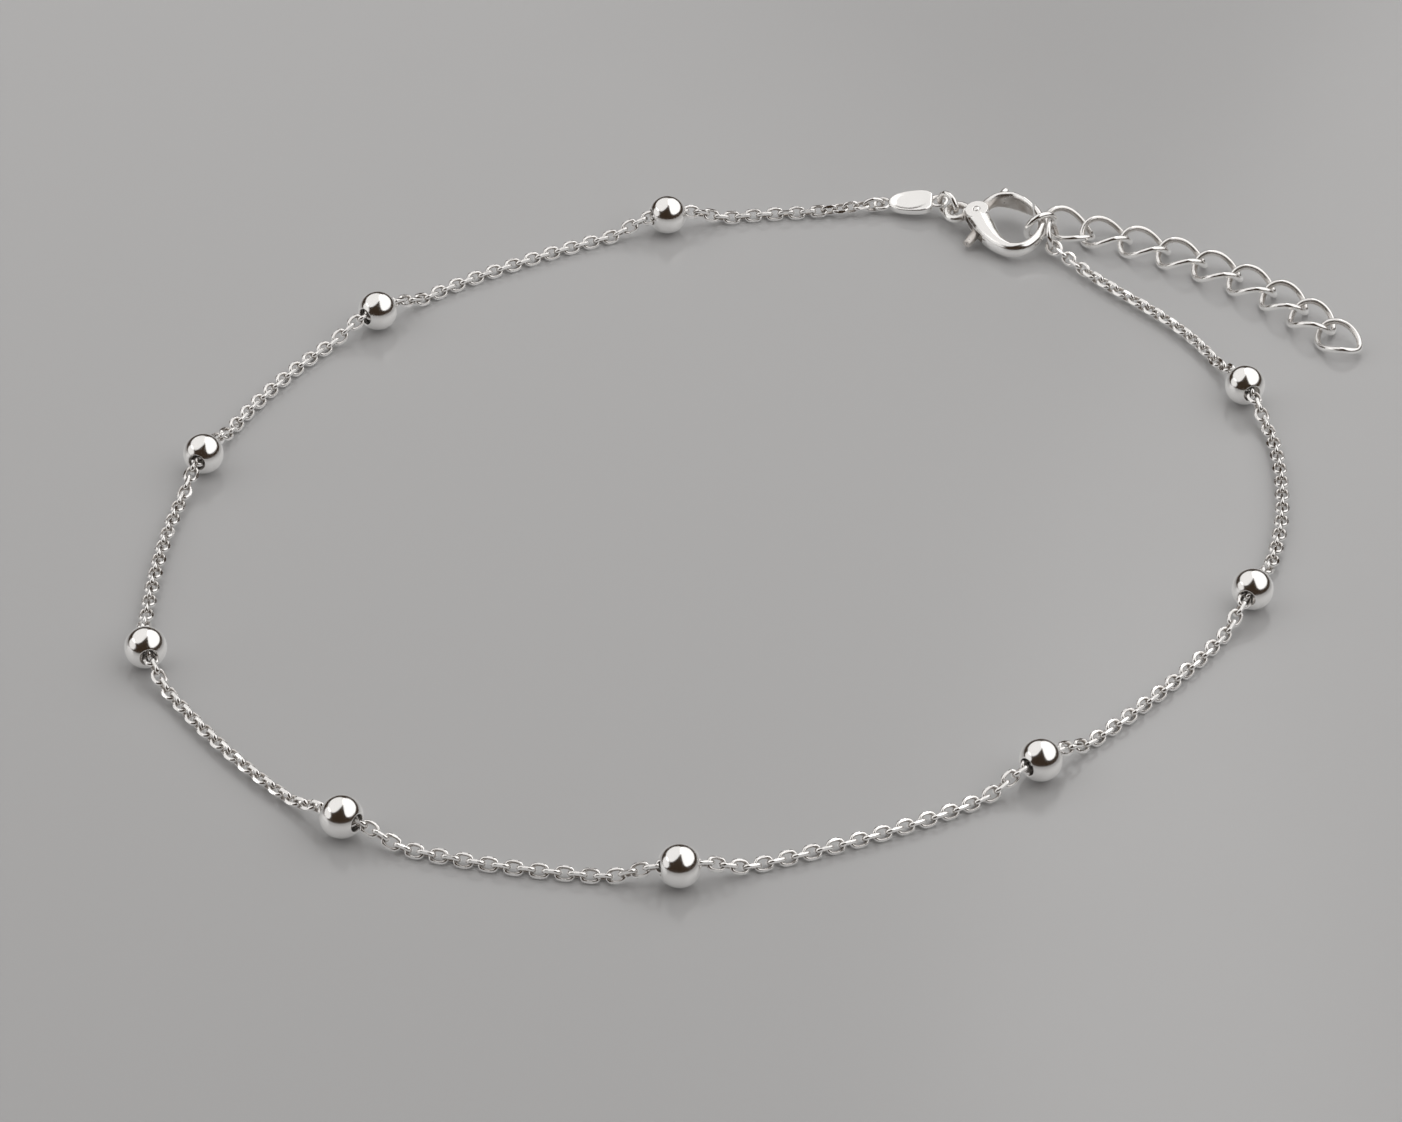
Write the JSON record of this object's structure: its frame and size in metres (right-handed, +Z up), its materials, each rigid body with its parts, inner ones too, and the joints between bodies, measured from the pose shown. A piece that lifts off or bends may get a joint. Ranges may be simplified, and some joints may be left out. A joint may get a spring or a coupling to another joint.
{
  "type": "chain anklet",
  "caption": "Fine silver cable-chain anklet with spaced round beads, an end tag, a lobster claw with a sprung lever and a free extender of twisted links.",
  "frame": {"origin": "on the table under the middle of the whole outline", "axes": "+Z up from the table, +Y from the viewer towards the clasp, +X to the viewer's right"},
  "size_m": [0.0824, 0.0812, 0.0027],
  "materials": {
    "bead_silver": "mirror-polished silver",
    "chain_silver": "polished silver with diamond-cut flats",
    "extender_silver": "polished silver wire",
    "ring_silver": "polished silver wire",
    "clasp_silver": "polished cast silver",
    "tag_silver": "polished silver plate"
  },
  "bodies": {
    "anklet": {"cable_chain": "chain_silver", "bead_1": "bead_silver", "bead_2": "bead_silver", "bead_3": "bead_silver", "bead_4": "bead_silver", "bead_5": "bead_silver", "bead_6": "bead_silver", "bead_7": "bead_silver", "bead_8": "bead_silver", "bead_9": "bead_silver", "end_tag": "tag_silver", "clasp_body": "clasp_silver", "clasp_pin": "clasp_silver", "tag_ring": "ring_silver", "joining_ring": "ring_silver", "chain_ring": "ring_silver", "extender_link_1": "extender_silver", "extender_link_2": "extender_silver", "extender_link_3": "extender_silver", "extender_link_4": "extender_silver", "extender_link_5": "extender_silver", "extender_link_6": "extender_silver", "extender_link_7": "extender_silver", "extender_link_8": "extender_silver", "extender_link_9": "extender_silver"},
    "lever": {"clasp_lever": "clasp_silver"}
  },
  "joints": [
    {"name": "lever_hinge", "type": "hinge", "parent": "anklet", "child": "lever", "pos_m": [0.01525, 0.03697, 0.00121], "axis": [0.175, 0.1796, -0.968], "range_deg": [0, 16], "stiffness_Nm_per_rad": 0.00002, "springref_deg": -20.05}
  ]
}
